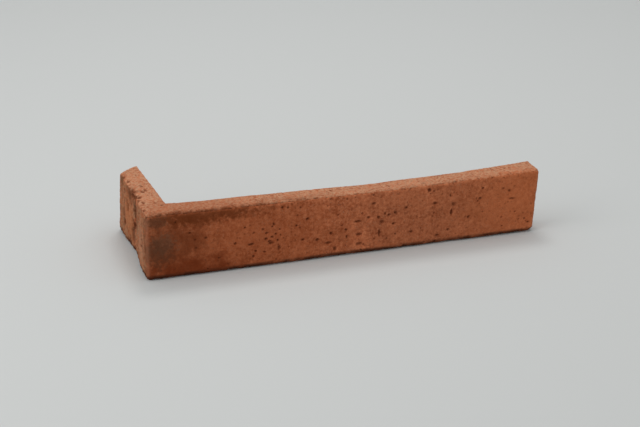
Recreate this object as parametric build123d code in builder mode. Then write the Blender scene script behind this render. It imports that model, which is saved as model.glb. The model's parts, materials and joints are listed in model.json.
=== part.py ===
from build123d import *
import os

# Corner brick slip: an L-shaped veneer piece of fired clay, sawn from the corner of a
# hand-moulded facing brick. It stands on its lower bed. The long leg shows the stretcher
# face, the short leg the header face. Both backs are flat saw cuts with sharp arrises.
# Millimetres. X runs along the long leg, Y from the stretcher face back, Z up.
# The origin is the middle of the footprint.

# Brick format, with the header as long as on this brick
stretcher_length = 288.0
header_length = 92.0
height = 48.0

# Saw cuts
slip_thickness = 19.0
header_end_thickness = 15.4

# Lean of the plain end
end_lean = 3.0

# Folds of the header face, at its foot and at its top. Each pair is a place along the
# face, as a share of its length, and how deep it lies in from the outer corner's plane.
foot_folds = ((0.17, 0.2), (0.32, 1.2), (0.46, 2.6), (0.57, 2.8), (0.70, 2.0), (0.85, 1.1))
foot_end_fold = 1.2
top_folds = ((0.20, 0.3), (0.40, 1.5), (0.56, 1.0), (0.80, 1.7))
top_end_fold = 2.5
end_fold_slope = 0.03

# Crease down the header face, where two folds of clay met. Each pair is a place as a share
# of the face's length and of the height. The insets are in from the outer corner's plane.
crease_line = ((0.42, 1.04), (0.385, 0.83), (0.41, 0.62), (0.52, 0.40), (0.51, 0.22), (0.56, -0.04))
crease_radius = 2.6
crease_inset_top = 0.4
crease_inset_foot = 1.8

# Worn shoulder along the header's outer top arris, in two slopes. Each has the place along
# the face where it starts, as a share of its length, and how wide and deep it is at the end.
shoulder_slopes = ((0.30, 11.5, 2.2), (0.52, 7.5, 5.0))

# Upper bed, sunk along the long leg by drying, and more at the saw cut than at the face.
# The shares are places along the leg, the slopes those of its two ends.
bed_dip_front = 1.4
bed_dip_back = 3.4
bed_dip_early = 1.25
bed_dip_end = 0.6
bed_early_share = 0.15
bed_deepest_share = 0.60
bed_fall = 0.07
bed_rise = 0.05

# Arrises
corner_radius = 3.5
end_arris_radius = 2.5
bed_arris_radius = 1.6

# Reach of the cutter past the faces that it crosses
cut_margin = 2.0

# Nearer than this, two places count as one
same_place = 0.01

# Places in the plan, worked out from the sizes above
outer_x = -stretcher_length / 2
outer_y = -header_length / 2
end_x = stretcher_length / 2
header_end_y = header_length / 2
inner_x = outer_x + slip_thickness
inner_y = outer_y + slip_thickness
header_cut_x = outer_x + header_end_thickness
header_taper = (inner_x - header_cut_x) / (header_end_y - inner_y)
early_x = inner_x + (end_x - inner_x) * bed_early_share
deepest_x = inner_x + (end_x - inner_x) * bed_deepest_share


def brick_outline(end_face_x, folds, end_fold):
    """Draws the plan of the whole brick, with the header face folded in by these depths."""
    header_corner_x = outer_x + end_fold
    fold_points = [(outer_x + depth, outer_y + header_length * share) for share, depth in folds]
    with BuildLine() as outline:
        Polyline(
            (outer_x, outer_y),
            (end_face_x, outer_y),
            (end_face_x, header_end_y),
            (header_corner_x, header_end_y),
        )
        Spline(
            (header_corner_x, header_end_y),
            *reversed(fold_points),
            (outer_x, outer_y),
            tangents=[(-end_fold_slope, -1), (0, -1)],
        )
    return outline


def shoulder_plane(start_share, width, drop):
    """Gives one plane that takes off the header's far top shoulder, facing up and out."""
    start = Vector(outer_x, outer_y + header_length * start_share, height)
    inner_end = Vector(outer_x + top_end_fold + width, header_end_y, height)
    outer_end = Vector(outer_x + top_end_fold, header_end_y, height - drop)
    return Plane(origin=start, z_dir=(inner_end - start).cross(outer_end - start))


def dip_profile(depth_in):
    """Draws what is missing above the sunken bed, in a plane this far behind the face."""
    share_in = depth_in / slip_thickness
    depth = bed_dip_front + (bed_dip_back - bed_dip_front) * share_in
    share = depth / bed_dip_back
    end_z = height - bed_dip_end * share
    with BuildLine() as profile:
        Spline(
            (inner_x, height),
            (early_x, height - bed_dip_early * share),
            (deepest_x, height - depth),
            (end_x, end_z),
            tangents=[(1, -bed_fall * share), (1, bed_rise * share)],
        )
        Polyline(
            (end_x, end_z),
            (end_x + cut_margin, end_z),
            (end_x + cut_margin, height + cut_margin),
            (inner_x, height + cut_margin),
            (inner_x, height),
        )
    return profile


def crease_point(share_back, share_up):
    """Gives one place of the crease's middle line on the header face."""
    inset = crease_inset_foot + (crease_inset_top - crease_inset_foot) * share_up
    return (outer_x + inset, outer_y + header_length * share_back, height * share_up)


def faces_up_or_down(face):
    """Tells the upper and lower bed from the upright faces."""
    outward = face.normal_at(face.center())
    return abs(outward.Z) > abs(outward.X) + abs(outward.Y)


def is_sawn(face):
    """Tells the two saw cuts behind the legs from the other faces."""
    middle = face.center()
    behind_stretcher = middle.X > inner_x and abs(middle.Y - inner_y) < same_place
    behind_header = middle.Y > inner_y and face.normal_at(middle).X > same_place
    return not faces_up_or_down(face) and (behind_stretcher or behind_header)


with BuildPart() as corner_slip:
    # Whole brick between its beds, with its lean and the folded header
    with BuildSketch(Plane.XY):
        add(brick_outline(end_x - end_lean, foot_folds, foot_end_fold))
        make_face()
    with BuildSketch(Plane.XY.offset(height)):
        add(brick_outline(end_x, top_folds, top_end_fold))
        make_face()
    loft(ruled=True)

    # Two saw cuts that leave the corner of the brick as a thin L
    with BuildSketch(Plane.XY.offset(-cut_margin)):
        with BuildLine():
            Polyline(
                (inner_x, inner_y),
                (end_x + cut_margin, inner_y),
                (end_x + cut_margin, header_end_y + cut_margin),
                (header_cut_x - header_taper * cut_margin, header_end_y + cut_margin),
                close=True,
            )
        make_face()
    extrude(amount=height + 2 * cut_margin, mode=Mode.SUBTRACT)

    # Sunken part of the upper bed
    with BuildSketch(Plane.XZ.offset(-(outer_y - cut_margin))):
        add(dip_profile(-cut_margin))
        make_face()
    with BuildSketch(Plane.XZ.offset(-(inner_y + cut_margin))):
        add(dip_profile(slip_thickness + cut_margin))
        make_face()
    loft(ruled=True, mode=Mode.SUBTRACT)

    # Worn shoulder of the header
    for slope in shoulder_slopes:
        split(bisect_by=shoulder_plane(*slope), keep=Keep.BOTTOM)

    # Upright arrises of the moulded faces, the outer corner most
    outer_corner = corner_slip.edges().sort_by_distance((outer_x, outer_y, height / 2))[0]
    fillet(outer_corner, corner_radius)
    plain_end_arris = corner_slip.edges().sort_by_distance((end_x, outer_y, height / 2))[0]
    header_end_arris = corner_slip.edges().sort_by_distance((outer_x, header_end_y, height / 2))[0]
    fillet([plain_end_arris, header_end_arris], end_arris_radius)

    # Arrises round both beds, apart from those that the saw left sharp
    sawn_arrises = corner_slip.faces().filter_by(is_sawn).edges()
    bed_arrises = corner_slip.faces().filter_by(faces_up_or_down).edges() - sawn_arrises
    fillet(bed_arrises, bed_arris_radius)

    # Crease down the header face
    with BuildLine() as crease:
        Spline(*[crease_point(*place) for place in crease_line])
    with BuildSketch(Plane(origin=crease.line @ 0, z_dir=crease.line % 0)):
        Circle(crease_radius)
    sweep(path=crease.line, mode=Mode.SUBTRACT)

corner_slip.part.label = "corner_slip"
os.makedirs("parts", exist_ok=True)
export_step(corner_slip.part, "parts/corner_slip.step")
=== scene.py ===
"""Looks of a corner brick slip: hand-moulded fired clay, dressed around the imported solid.

Everything is in metres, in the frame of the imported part. X runs along the long leg, Y from the
stretcher face to the back, Z up, and the origin is the middle of the footprint.
"""

import json
import logging
import math
from dataclasses import dataclass, field, fields
from enum import Enum
from functools import reduce

import bmesh
import bpy
import numpy as np
from mathutils import Matrix, Vector


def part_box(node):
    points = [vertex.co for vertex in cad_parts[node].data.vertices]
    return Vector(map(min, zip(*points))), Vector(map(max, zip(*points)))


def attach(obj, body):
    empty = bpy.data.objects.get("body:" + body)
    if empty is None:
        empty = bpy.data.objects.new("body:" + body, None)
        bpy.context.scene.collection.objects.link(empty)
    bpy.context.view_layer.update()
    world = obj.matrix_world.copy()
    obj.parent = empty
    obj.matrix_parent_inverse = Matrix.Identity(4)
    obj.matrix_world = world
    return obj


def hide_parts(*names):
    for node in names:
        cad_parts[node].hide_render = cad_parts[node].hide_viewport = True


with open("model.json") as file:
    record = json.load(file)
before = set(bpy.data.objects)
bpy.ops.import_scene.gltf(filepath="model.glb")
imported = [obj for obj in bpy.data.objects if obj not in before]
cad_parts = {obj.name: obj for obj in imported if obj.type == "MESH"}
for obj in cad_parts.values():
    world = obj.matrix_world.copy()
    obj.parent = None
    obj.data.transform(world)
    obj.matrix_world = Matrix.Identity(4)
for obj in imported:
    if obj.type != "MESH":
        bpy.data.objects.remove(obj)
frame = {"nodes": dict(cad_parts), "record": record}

log = logging.getLogger("corner_slip")

MM = 0.001
NODE = "corner_slip"
BODY = "root"
PHOTO_WIDTH_PX = 640
HALF = 0.5
SOCKET_KINDS = {float: "NodeSocketFloat", int: "NodeSocketInt", tuple: "NodeSocketVector"}

Material = bpy.types.Material
Mesh = bpy.types.Mesh
Node = bpy.types.Node
Object = bpy.types.Object
Socket = bpy.types.NodeSocket
Tree = bpy.types.NodeTree
Rows = bpy.types.bpy_prop_collection
Fed = Socket | float | tuple
Value = Fed | Material | str
Pair = tuple[Socket, Socket]
Triple = tuple[float, float, float]
Run = tuple[Triple, Triple]
Colour = Triple
ORIGIN = (0.0, 0.0, 0.0)
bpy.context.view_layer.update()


def titled(name: str) -> str:
    """Turns a name such as foot_depth into the title of its socket."""
    return name.replace("_", " ").capitalize()


class Zone(Enum):
    """Names of the attributes that the relief and the finishes read."""

    SAWN = "sawn"
    UPPER_BED = "upper_bed"
    HEADER = "header"
    OUTWARD = "outward"
    ARRIS = "arris"
    HOLLOW = "hollow"
    DEPTH = "depth"
    REACH = "reach"
    SINK = "sink"
    BOWL = "bowl"


class Guide(Enum):
    """Helper objects that tell the relief where single marks lie."""

    PIT_MARKS = "pit_marks"
    CREASE_LINE = "crease_line"
    WORN_CORNERS = "worn_corners"
    PIT_CLUSTER = "pit_cluster"


class Side(Enum):
    """A side of the slip that marks were read off, and the two axes they were measured along."""

    STRETCHER = (0, 2)
    HEADER = (1, 2)
    UPPER_BED = (0, 1)

    def spot(self, first: float, second: float, height: float = 0.0) -> Vector:
        """Gives the place on this side, measured in mm from the outer foot corner.

        Args:
            first: The distance along the side's first axis.
            second: The distance along its second axis.
            height: The height of the brick, for marks on its bed.

        Returns:
            The place, before it is moved onto the surface.
        """
        place = [0.0, 0.0, height if self is Side.UPPER_BED else 0.0]
        place[self.value[0]] = first
        place[self.value[1]] = second
        return Vector(place)

    def reach(self, wide: float, tall: float, through: float) -> Vector:
        """Gives half the size of a mark along X, Y and Z.

        Args:
            wide: The mark's size along the side's first axis.
            tall: Its size along the second axis.
            through: Half its size square to the side.

        Returns:
            The half sizes, in the unit of those given.
        """
        sizes = [through, through, through]
        sizes[self.value[0]] = wide / 2
        sizes[self.value[1]] = tall / 2
        return Vector(sizes)


@dataclass(frozen=True)
class Rise:
    """How a value is eased: from low to high, while what it reads goes from start to end."""

    start: float
    end: float
    low: float = 0.0
    high: float = 1.0


@dataclass(frozen=True)
class Patches:
    """A noise with patches of one size in metres, and how it rises from its gaps to them."""

    size: float
    rise: Rise
    detail: float = 2.0
    roughness: float = 0.5


class Wiring:
    """Adds nodes to one tree and joins their sockets."""

    distortion = 0.4

    def __init__(self, tree: Tree) -> None:
        """Keeps the tree that the nodes go into."""
        self.tree = tree

    def node(
        self, kind: str, feeds: dict[str, Value] | None = None, **settings: str | bool | Tree
    ) -> Node:
        """Adds one node.

        Args:
            kind: The node's type name.
            feeds: What goes into its inputs, by socket name: a socket or a plain value.
            **settings: The node's own properties.

        Returns:
            The new node.
        """
        made = self.tree.nodes.new(kind)
        for name, value in settings.items():
            setattr(made, name, value)
        for name, value in (feeds or {}).items():
            self.put(self.pick(made.inputs, name), value)
        return made

    def read(
        self, kind: str, output: str, feeds: dict[str, Value] | None = None, **settings: str
    ) -> Socket:
        """Adds one node, as above, and gives its output of that name."""
        return self.pick(self.node(kind, feeds, **settings).outputs, output)

    @staticmethod
    def pick(sockets: Rows, name: str) -> Socket:
        """Finds the socket of that name which the node's settings leave in use."""
        return next(socket for socket in sockets if socket.name == name and socket.enabled)

    def put(self, socket: Socket, value: Value) -> None:
        """Feeds a socket from another socket, or sets it to a plain value."""
        if isinstance(value, Socket):
            self.tree.links.new(value, socket)
        else:
            socket.default_value = (*value, 1.0) if socket.type == "RGBA" else value

    def math(self, operation: str, *values: Fed, clamp: bool = False) -> Socket:
        """Adds a Math node.

        Args:
            operation: What it works out.
            *values: Its inputs, in their order.
            clamp: Whether the result is held between 0 and 1.

        Returns:
            The result.
        """
        made = self.node("ShaderNodeMath", operation=operation, use_clamp=clamp)
        for socket, value in zip(made.inputs, values):
            self.put(socket, value)
        return made.outputs[0]

    def total(self, *values: Fed) -> Socket:
        """Adds up several values."""
        return reduce(lambda result, value: self.math("ADD", result, value), values)

    def times(self, *values: Fed) -> Socket:
        """Multiplies several values."""
        return reduce(lambda result, value: self.math("MULTIPLY", result, value), values)

    def most(self, *values: Fed) -> Socket:
        """Gives the greatest of several values."""
        return reduce(lambda result, value: self.math("MAXIMUM", result, value), values)

    def flipped(self, value: Fed) -> Socket:
        """Turns a mask round, from 1 to 0."""
        return self.math("SUBTRACT", 1.0, value)

    def vector(self, operation: str, *values: Fed) -> Socket:
        """Adds a Vector Math node.

        Args:
            operation: What it works out.
            *values: Its inputs, in their order.

        Returns:
            The vector.
        """
        made = self.node("ShaderNodeVectorMath", operation=operation)
        for socket, value in zip(made.inputs, values):
            self.put(socket, value)
        return self.pick(made.outputs, "Vector")

    def length(self, value: Fed) -> Socket:
        """Gives a vector's length."""
        return self.read("ShaderNodeVectorMath", "Value", {"Vector": value}, operation="LENGTH")

    def scaled(self, value: Fed, factor: Fed) -> Socket:
        """Multiplies a vector by a number."""
        feeds = {"Vector": value, "Scale": factor}
        return self.read("ShaderNodeVectorMath", "Vector", feeds, operation="SCALE")

    def parts(self, value: Fed) -> Rows:
        """Splits a vector into its three numbers."""
        return self.node("ShaderNodeSeparateXYZ", {"Vector": value}).outputs

    def ramp(self, value: Fed, rise: Rise) -> Socket:
        """Eases a value.

        Args:
            value: What is read.
            rise: From where to where it is eased.

        Returns:
            The eased value.
        """
        feeds = {"Value": value, "From Min": rise.start, "From Max": rise.end}
        feeds |= {"To Min": rise.low, "To Max": rise.high}
        return self.read("ShaderNodeMapRange", "Result", feeds, interpolation_type="SMOOTHSTEP")

    def noise(self, place: Fed, size: Fed, detail: float = 2.0, roughness: float = 0.5) -> Socket:
        """Adds a noise whose patches have about the given size in metres.

        Args:
            place: The coordinates.
            size: The size of a patch, as a value or a socket.
            detail: How many finer layers it has.
            roughness: How strong those are.

        Returns:
            A value that varies about one half.
        """
        feeds = {
            "Vector": place,
            "Scale": self.math("DIVIDE", 1.0, size),
            "Detail": detail,
            "Roughness": roughness,
            "Distortion": self.distortion,
        }
        return self.node("ShaderNodeTexNoise", feeds).outputs[0]

    def patches(self, place: Fed, look: Patches, size: Socket | None = None) -> Socket:
        """Adds a noise that is eased into patches, of this size where one is given."""
        plain = self.noise(place, look.size if size is None else size, look.detail, look.roughness)
        return self.ramp(plain, look.rise)

    def blend(self, factor: Fed, first: Fed, second: Fed, kind: str = "RGBA") -> Socket:
        """Mixes two colours, or two vectors if that is the kind."""
        feeds = {"Factor": factor, "A": first, "B": second}
        return self.read("ShaderNodeMix", "Result", feeds, data_type=kind)


@dataclass(frozen=True)
class PitMark:
    """One pit: its place on its side, from the outer foot corner, and its size, in mm."""

    first: float
    second: float
    wide: float = 1.6
    tall: float = 1.6
    deep: float = 1.3


@dataclass(frozen=True)
class SawCut:
    """One flat sawn back, as the record's mount states it."""

    point: Vector
    outward: Vector
    least_turn: float = 0.6

    @classmethod
    def from_mount(cls, name: str) -> "SawCut":
        """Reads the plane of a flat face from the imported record."""
        mount = next(m for m in frame["record"]["mounts"] if m["name"] == name)
        return cls(Vector(mount["pos_m"]), Vector(mount["axis"]).normalized())

    def covers(self, places: np.ndarray, normals: np.ndarray, reach: float) -> np.ndarray:
        """Tells which vertices lie within reach of this cut and face its way."""
        turned = normals @ np.array(self.outward)
        return self._beside(places, reach) & (turned > self.least_turn)

    def kept_flat(self, places: np.ndarray, outward: np.ndarray, reach: float) -> np.ndarray:
        """Takes the part across the cut out of the directions of the vertices beside it.

        Args:
            places: The vertices' places.
            outward: The direction of each.
            reach: The greatest distance from the cut's plane.

        Returns:
            The directions, flat along the cut beside it.
        """
        across = outward @ np.array(self.outward)
        flat = outward - across[:, None] * np.array(self.outward)
        return np.where(self._beside(places, reach)[:, None], flat, outward)

    def _beside(self, places: np.ndarray, reach: float) -> np.ndarray:
        """Tells which vertices lie within reach of the cut's plane."""
        return np.abs((places - np.array(self.point)) @ np.array(self.outward)) < reach


PIT_MARKS = {
    Side.STRETCHER: (
        PitMark(204, 42, 2.6, 2.6, 2.2), PitMark(208.5, 31.5, 3.4, 1.8),
        PitMark(221, 23, 1.6, 4.6, 2.2), PitMark(222.5, 29, 3.6, 3.0, 1.0),
        PitMark(220, 36, 1.6, 2.2), PitMark(242.5, 31, 2.6, 2.0), PitMark(244.5, 38.5, 1.8, 1.4),
        PitMark(234, 18, 2.4, 2.0), PitMark(280.5, 8, 1.6, 1.6), PitMark(277.5, 11, 1.4, 1.4),
        PitMark(210.5, 6.5, 3.0, 1.8), PitMark(219, 10, 2.2, 1.8), PitMark(163, 37, 3.0, 2.0),
        PitMark(179, 28, 2.4, 2.0, 1.8), PitMark(174, 27, 2.4, 1.6),
        PitMark(171, 28.5, 1.4, 2.4, 1.0), PitMark(166.5, 26, 2.0, 2.2, 1.8),
        PitMark(169, 22.5, 3.2, 2.6, 1.0), PitMark(177.5, 20, 2.2, 1.8, 1.8),
        PitMark(151, 25, 5.4, 1.8), PitMark(159, 27, 2.2, 1.6),
        PitMark(114.5, 31.5, 2.4, 1.8, 1.8), PitMark(131.5, 18.5, 2.0, 1.6, 1.8),
        PitMark(142.5, 20, 1.8, 1.8), PitMark(143, 14.5, 1.4, 3.0, 1.4),
        PitMark(152, 15, 4.0, 2.0, 1.8), PitMark(167, 14, 1.6, 4.6, 1.8),
        PitMark(152, 8, 4.4, 2.4, 1.0), PitMark(121.5, 15, 2.6, 1.8, 1.8),
        PitMark(129.5, 11.5, 5.0, 1.8), PitMark(134.5, 6.5, 2.6, 3.4, 1.0),
        PitMark(191, 12, 1.8, 1.4), PitMark(179, 12, 1.4, 1.4), PitMark(88, 17, 4.6, 1.8, 1.6),
        PitMark(94, 13, 2.0, 3.4, 1.2), PitMark(62.5, 20, 2.2, 1.6), PitMark(74, 18, 4.8, 1.6),
        PitMark(106.5, 27.5, 1.8, 1.4), PitMark(111, 16.5, 2.0, 1.6),
        PitMark(96.5, 42.5, 1.8, 1.4), PitMark(100.5, 42, 1.6, 1.4), PitMark(90, 31, 1.4, 2.2),
        PitMark(84.5, 20.5, 2.0, 1.8, 1.4), PitMark(87, 18.5, 2.4, 1.6, 1.4),
        PitMark(93, 18.5, 1.6, 1.6, 1.4), PitMark(77, 12.5, 1.6, 1.4, 1.2),
        PitMark(83.5, 11, 1.6, 1.4, 1.2), PitMark(89, 21.5, 1.8, 1.4, 1.2),
        PitMark(91.5, 23.5, 1.6, 1.4, 1.2), PitMark(85, 25, 1.8, 1.6, 1.2),
        PitMark(75.5, 8.5, 2.0, 1.4, 1.2), PitMark(69.5, 31, 1.6, 1.4, 1.0),
        PitMark(82.5, 28, 2.0, 1.6, 1.2), PitMark(94.5, 26.5, 1.6, 1.4, 1.2),
        PitMark(51, 11, 2.2, 1.4, 1.0), PitMark(34.5, 26.5, 1.6, 1.4, 1.0),
        PitMark(187, 31, 2.2, 1.8), PitMark(265, 34, 2.2, 1.6, 1.0),
        PitMark(267, 28, 5.0, 1.6, 0.8), PitMark(31, 32, 1.8, 1.6),
        PitMark(42, 27, 2.0, 1.8, 0.9), PitMark(35, 20.5, 2.4, 1.6, 0.8),
    ),
    Side.HEADER: (
        PitMark(38.5, 32.5, 7.0, 13.0, 2.2), PitMark(44, 45, 8.0, 5.0, 1.8),
        PitMark(50, 20, 7.0, 9.0, 1.8), PitMark(53, 10, 6.0, 9.0, 1.8),
        PitMark(65, 30, 5.0, 11.0, 1.6), PitMark(66, 42, 4.0, 6.0, 1.6),
        PitMark(75, 38, 5.0, 5.0, 1.4), PitMark(75, 13, 5.0, 5.0, 1.4),
        PitMark(22, 40, 4.0, 2.6, 1.2), PitMark(27, 33, 4.0, 6.0, 1.2),
        PitMark(61, 22, 4.0, 3.0, 1.2), PitMark(20, 18, 3.6, 2.2, 1.0),
        PitMark(30, 9, 4.0, 2.4, 1.0),
    ),
    Side.UPPER_BED: (
        PitMark(4.5, 35.5, 3.6, 5.0, 2.0), PitMark(2.5, 29.5, 3.2, 3.4, 1.6),
        PitMark(9, 43.5, 2.4, 4.4, 1.6), PitMark(11.5, 46, 2.4, 4.0, 1.4),
        PitMark(3, 47.5, 3.6, 6.0, 2.2), PitMark(10.5, 54.5, 2.2, 3.2, 1.0),
        PitMark(5, 25, 2.4, 4.0, 1.2), PitMark(13, 22.5, 1.8, 2.4, 1.0),
        PitMark(16, 17, 1.8, 2.4, 1.0), PitMark(2.5, 12, 2.6, 2.4, 1.4),
        PitMark(1, 80, 3.0, 5.0, 1.8), PitMark(4, 68, 2.4, 4.0, 1.2),
        PitMark(24, 3, 6.0, 5.0, 3.0), PitMark(31.5, 2.4, 5.0, 4.0, 2.6),
        PitMark(38, 1.4, 3.4, 3.4, 2.0), PitMark(44, 0.6, 4.4, 3.0, 2.0),
        PitMark(49.5, 2.6, 5.6, 4.6, 2.8), PitMark(57, 1.2, 4.2, 2.8, 2.0),
        PitMark(69, 0.6, 4.0, 2.4, 1.4), PitMark(82, 0.8, 9.0, 3.0, 2.2),
        PitMark(92, 1.0, 4.4, 2.8, 1.8), PitMark(62, 7, 1.8, 1.6, 0.9),
        PitMark(103.5, 4.6, 2.6, 2.6, 1.4), PitMark(108.5, 5.6, 2.6, 2.4, 1.2),
        PitMark(112.5, 4.4, 3.8, 3.6, 2.0), PitMark(135, 13, 1.8, 1.8, 1.0),
        PitMark(121, 0.5, 4.4, 2.0, 1.2), PitMark(150, 1, 3.6, 2.6, 1.2),
        PitMark(163, 6, 1.8, 1.6, 0.9), PitMark(184, 2, 2.0, 1.6, 0.9),
        PitMark(201.5, 5.5, 2.2, 1.8, 1.0), PitMark(176.5, 9, 1.8, 1.4, 0.9),
        PitMark(224, 0.5, 2.6, 1.8, 1.2),
    ),
}


@dataclass
class ReliefTree:
    """Geometry Nodes that wear the smooth solid into moulded, pitted clay.

    Every effect cuts inwards, so the result stays inside the solid. Sizes are in metres. Each
    plain number below, and the size of each noise, is an input of the tree under its own title.
    """

    moulded: Material
    sawn: Material
    seed: int = 7
    seed_shift: float = 1.37
    seed_way: Triple = (1.0, 0.7, 0.4)
    swell: Patches = Patches(30 * MM, Rise(0.42, 0.8), 1.0)
    swell_depth: float = 0.5 * MM
    lump: Patches = Patches(5 * MM, Rise(0.4, 0.8), 3.0, 0.6)
    lump_depth: float = 0.5 * MM
    grain: Patches = Patches(1.6 * MM, Rise(0.34, 0.8), 2.0, 0.6)
    grain_depth: float = 0.20 * MM
    rough: Patches = Patches(9 * MM, Rise(0.35, 0.65, 0.2, 1.0))
    rough_gain: float = 1.2
    rough_least: float = 0.8
    margin_steps: int = 24
    margin_gain: float = 2.2
    margin_rough: float = 0.4
    inner_rough: float = 0.6
    fold: Patches = Patches(7 * MM, Rise(0.38, 0.72), 2.0, 0.55)
    fold_depth: float = 1.1 * MM
    fold_stretch: Triple = (1.0, 1.0, 0.3)
    streak: Patches = Patches(3 * MM, Rise(0.5, 0.72), 2.0, 0.6)
    streak_depth: float = 0.6 * MM
    pit_radius: float = 0.75 * MM
    pit_spacing: float = 2.2 * MM
    pit_density: float = 60000.0
    pit_widest: float = 1.25
    pit_least: float = 0.5
    pit_bias: float = 2.5
    pit_sink: float = 1.2
    pit_patch: Patches = Patches(22 * MM, Rise(0.35, 0.62, 0.08, 0.45))
    # How much of the painted shade in the hollows the small pits get.
    small_pit_tone: float = 0.6
    bowl: Rise = Rise(1.25, 0.25)
    warp_scale: float = 1.0 / (1.8 * MM)
    warp_detail: float = 2.0
    warp_roughness: float = 0.6
    warp_reach: float = 1.7 * MM
    cluster_reach: float = 12 * MM
    cluster: Rise = Rise(1.0, 0.3)
    void_density: float = 4500.0
    void_widest: float = 2.0
    void_turn: int = 11
    void_steps: int = 3
    void_guard: Rise = Rise(0.75, 1.0)
    chip: Patches = Patches(4.5 * MM, Rise(0.47, 0.58), 3.0, 0.65)
    chip_depth: float = 1.4 * MM
    chip_gain: float = 1.3
    chip_least: float = 0.5
    crumb_share: float = 0.3
    crumb_depth: float = 0.4
    worn_reach: float = 15 * MM
    worn_depth: float = 0.5 * MM
    worn_fade: Rise = Rise(1.0, 0.15)
    deepest_edge: float = 3.2 * MM
    foot_height: float = 4 * MM
    foot_depth: float = 1.3 * MM
    foot_low: Rise = Rise(1.0, 0.1)
    foot_near: Rise = Rise(-142 * MM, -128 * MM, 0.2, 1.0)
    foot_far: Rise = Rise(105 * MM, 142 * MM, 0.0, 2.4)
    foot_rag: Patches = Patches(11 * MM, Rise(0.3, 0.7, 0.35, 1.3))
    crease_width: float = 1.6 * MM
    crease_depth: float = 0.9 * MM
    crease_rag: Patches = Patches(6 * MM, Rise(0.3, 0.7, 0.3, 1.4))
    crease_fade: Rise = Rise(1.1, 0.15)
    wobble_size: float = 2.2 * MM
    wobble_reach: float = 1.4
    cut_fade: Rise = Rise(0.0, 4 * MM, 1.0, 0.0)
    soften_steps: int = 12
    guard_steps: int = 4
    guard: Rise = Rise(0.0, 0.2, 1.0, 0.0)
    arris_tilt: Rise = Rise(0.02, 0.2)
    arris_steps: int = 14
    arris_gain: float = 2.0
    level_tilt: Rise = Rise(0.05, 0.3)
    level_gain: float = 1.6
    sockets: dict[str, str] = field(default_factory=dict)

    def values(self) -> dict[str, float]:
        """Collects what the tree's inputs are set to.

        Returns:
            The numbers above and the noises' sizes, by the name of their input.
        """
        own = {entry.name: getattr(self, entry.name) for entry in fields(self)}
        sizes = {f"{name}_size": one.size for name, one in own.items() if isinstance(one, Patches)}
        return sizes | {name: one for name, one in own.items() if isinstance(one, (int, float))}

    def build(self) -> Tree:
        """Makes the tree, from the solid to the worn clay with its materials set.

        Returns:
            The tree.
        """
        self.tree = bpy.data.node_groups.new("worn_clay", "GeometryNodeTree")
        self.wiring = w = Wiring(self.tree)
        self.entry = self._entry()
        self.place = self._moved_by_seed()
        self.sawn_mask = self._attribute(Zone.SAWN)
        self.moulded_mask = w.flipped(self.sawn_mask)
        self.solid = self._softened()
        arris = w.times(self._arris(), self.moulded_mask)
        level = self._level()
        hollow, pits = self._pits()
        groove, crease = self._crease()
        edges = w.times(self._edge_wear(), arris, level)
        face = w.total(self._skin(), self._folds())
        depth = w.total(face, w.most(edges, pits), crease)
        worn = self._stored(self.solid, Zone.ARRIS, w.times(arris, w.flipped(level)))
        # The hollow and depth attributes drive the painted shade of the moulded finish.
        worn = self._stored(worn, Zone.HOLLOW, w.most(hollow, groove))
        worn = self._stored(worn, Zone.DEPTH, w.math("DIVIDE", w.total(face, edges), MM))
        offset = w.vector("ADD", self._moulded_offset(depth), self._voids())
        feeds = {"Geometry": worn, "Offset": offset}
        moved = w.read("GeometryNodeSetPosition", "Geometry", feeds)
        real = w.read("GeometryNodeRealizeInstances", "Geometry", {"Geometry": moved})
        feeds = {"Geometry": real, "Material": self.moulded}
        dressed = w.read("GeometryNodeSetMaterial", "Geometry", feeds)
        is_sawn = w.math("GREATER_THAN", self._attribute(Zone.SAWN), HALF)
        feeds = {"Geometry": dressed, "Selection": is_sawn, "Material": self.sawn}
        dressed = w.read("GeometryNodeSetMaterial", "Geometry", feeds)
        w.put(w.node("NodeGroupOutput").inputs[0], dressed)
        return self.tree

    def _entry(self) -> Node:
        """Returns:
            The input node.
        """
        self._declare("worn", "NodeSocketGeometry", "OUTPUT")
        self._declare("solid", "NodeSocketGeometry")
        for name, value in self.values().items():
            self._declare(name, SOCKET_KINDS[type(value)])
        for guide in Guide:
            self._declare(guide.value, "NodeSocketObject")
        return self.wiring.node("NodeGroupInput")

    def _declare(self, name: str, kind: str, way: str = "INPUT") -> None:
        """Adds a socket to the tree's face, and keeps its identifier by name.

        Args:
            name: The field's or the helper's name.
            kind: The socket's type name.
            way: Whether it is an input or the output.
        """
        face = self.tree.interface
        made = face.new_socket(name=titled(name), in_out=way, socket_type=kind)
        self.sockets[name] = made.identifier

    def _in(self, name: str) -> Socket:
        """Gives one of the tree's own inputs."""
        return self.wiring.pick(self.entry.outputs, titled(name))

    def _attribute(self, zone: Zone, kind: str = "FLOAT") -> Socket:
        """Reads a named attribute."""
        settings = {"feeds": {"Name": zone.value}, "data_type": kind}
        return self.wiring.read("GeometryNodeInputNamedAttribute", "Attribute", **settings)

    def _stored(self, geometry: Socket, zone: Zone, value: Socket) -> Socket:
        """Keeps a value as a point attribute.

        Args:
            geometry: The geometry.
            zone: The attribute's name.
            value: The field that is kept.

        Returns:
            The geometry with the attribute.
        """
        feeds = {"Geometry": geometry, "Name": zone.value, "Value": value}
        settings = {"data_type": "FLOAT", "domain": "POINT"}
        return self.wiring.read("GeometryNodeStoreNamedAttribute", "Geometry", feeds, **settings)

    def _position(self) -> Socket:
        """Gives the place of each vertex or point."""
        return self.wiring.read("GeometryNodeInputPosition", "Position")

    def _normal(self) -> Socket:
        """Gives the direction that each vertex faces."""
        return self.wiring.read("GeometryNodeInputNormal", "Normal")

    def _moved_by_seed(self) -> Socket:
        """Shifts the place that the noises read, so that a seed gives its own pattern.

        Returns:
            The shifted place.
        """
        w = self.wiring
        shift = w.times(self._in("seed"), self._in("seed_shift"))
        return w.vector("ADD", self._position(), w.scaled(self.seed_way, shift))

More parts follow.
